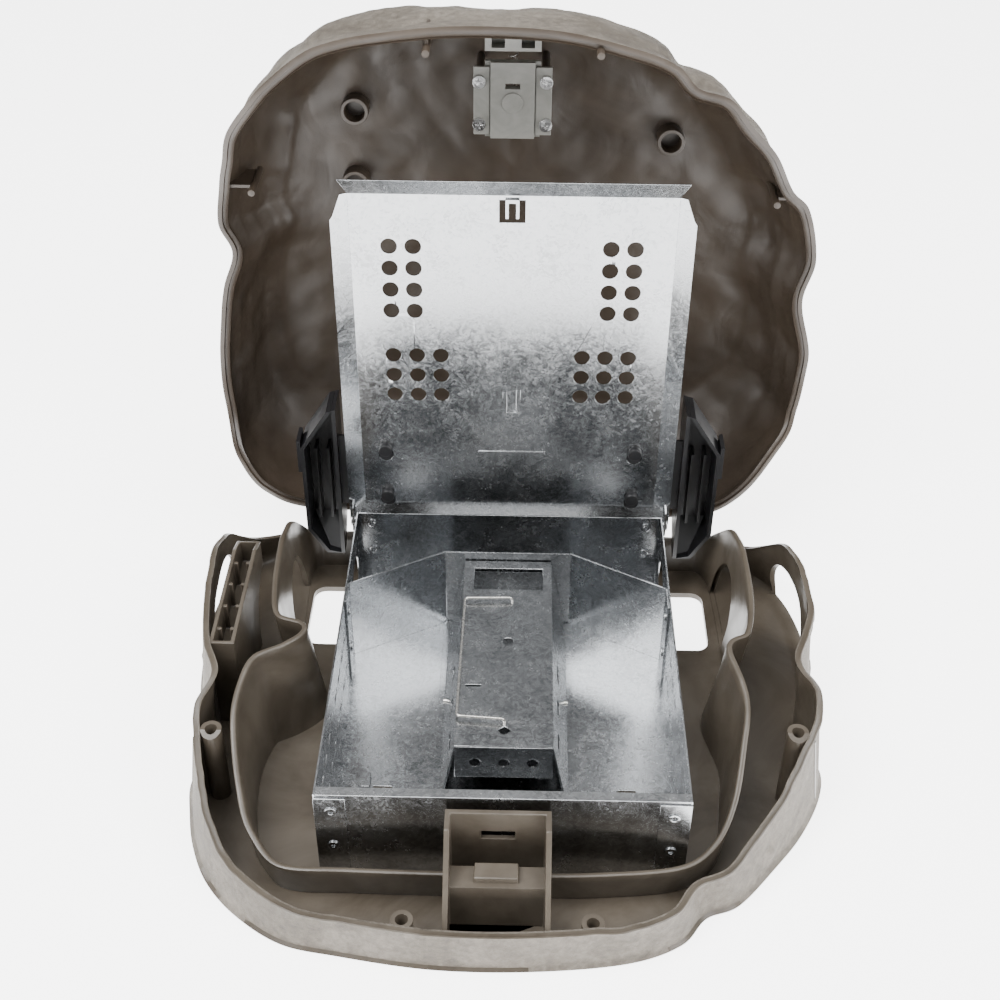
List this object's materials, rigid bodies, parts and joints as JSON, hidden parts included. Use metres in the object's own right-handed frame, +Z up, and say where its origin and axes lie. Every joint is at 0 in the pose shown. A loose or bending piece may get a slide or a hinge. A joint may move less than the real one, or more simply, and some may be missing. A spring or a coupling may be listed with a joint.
{
  "type": "bait station",
  "caption": "Rock-shaped rodent bait station opened at a rear hinge, with a sheet-metal live-catch trap, its raised lid and black plastic hoods inside.",
  "frame": {"origin": "on the ground under the middle of the base", "axes": "+X to the right seen from the latch side, -Y towards the latch at the front, +Z up"},
  "size_m": [0.407, 0.4609, 0.3678],
  "materials": {
    "base_plastic": "stone-textured moulded plastic, warm grey",
    "cover_plastic": "stone-textured moulded plastic, brown grey with flow marks",
    "galvanised_steel": "galvanised sheet with a fine spangle",
    "bright_steel": "bright zinc-plated steel",
    "hood_plastic": "black moulded plastic, slightly glossy",
    "latch_plastic": "dark brown moulded plastic"
  },
  "bodies": {
    "root": {"base_tray": "base_plastic", "bay_wall": "base_plastic", "screw_posts": "base_plastic", "key_pocket": "base_plastic", "latch_tower": "base_plastic", "base_hinge_knuckles": "base_plastic", "hinge_pins": "bright_steel", "trap_floor": "galvanised_steel", "floor_tongue": "galvanised_steel", "trap_side_left": "galvanised_steel", "trap_side_right": "galvanised_steel", "trap_front_wall": "galvanised_steel", "trap_rear_wall": "galvanised_steel", "trap_rivets": "galvanised_steel", "baffle_left": "galvanised_steel", "baffle_right": "galvanised_steel", "baffle_door": "galvanised_steel", "tunnel_side_left": "galvanised_steel", "tunnel_side_right": "galvanised_steel", "tunnel_roof": "galvanised_steel", "tunnel_front_strip": "galvanised_steel", "wire_clip": "bright_steel", "treadle_pin": "bright_steel", "lid_pivot_rivets": "galvanised_steel"},
    "trap_lid": {"lid_panel": "galvanised_steel", "lid_flange_left": "galvanised_steel", "lid_flange_right": "galvanised_steel", "lid_front_lip": "galvanised_steel", "lid_catch": "galvanised_steel", "hood_left": "hood_plastic", "hood_right": "hood_plastic", "hood_studs": "hood_plastic"},
    "cover": {"cover_shell": "cover_plastic", "locating_pins": "cover_plastic", "crown_cups": "cover_plastic", "cover_hinge_knuckles": "cover_plastic", "latch_straps": "latch_plastic", "latch_posts": "cover_plastic", "latch_screws": "bright_steel", "key_bracket": "latch_plastic"},
    "latch_bolt": {"latch_bolt": "latch_plastic", "latch_spring": "bright_steel"},
    "treadle": {"treadle": "galvanised_steel", "treadle_weight": "bright_steel"}
  },
  "joints": [
    {"name": "cover_hinge", "type": "hinge", "parent": "root", "child": "cover", "pos_m": [0, 0.187, 0.02], "axis": [1, 0, 0], "range_deg": [0, 91]},
    {"name": "trap_lid_hinge", "type": "hinge", "parent": "root", "child": "trap_lid", "pos_m": [0, 0.137, 0.062], "axis": [1, 0, 0], "range_deg": [0, 90.5]},
    {"name": "latch_slide", "type": "slide", "parent": "cover", "child": "latch_bolt", "axis": [0, 0.0175, 0.9998], "range_m": [0, 0.004], "stiffness_N_per_m": 200, "springref_m": -0.004},
    {"name": "treadle_tilt", "type": "hinge", "parent": "root", "child": "treadle", "pos_m": [0, 0.02, 0.015], "axis": [1, 0, 0], "range_deg": [0, 14]}
  ],
  "couplings": [
    {"joint": "trap_lid_hinge", "follows": "cover_hinge", "ratio": 0.9945}
  ]
}
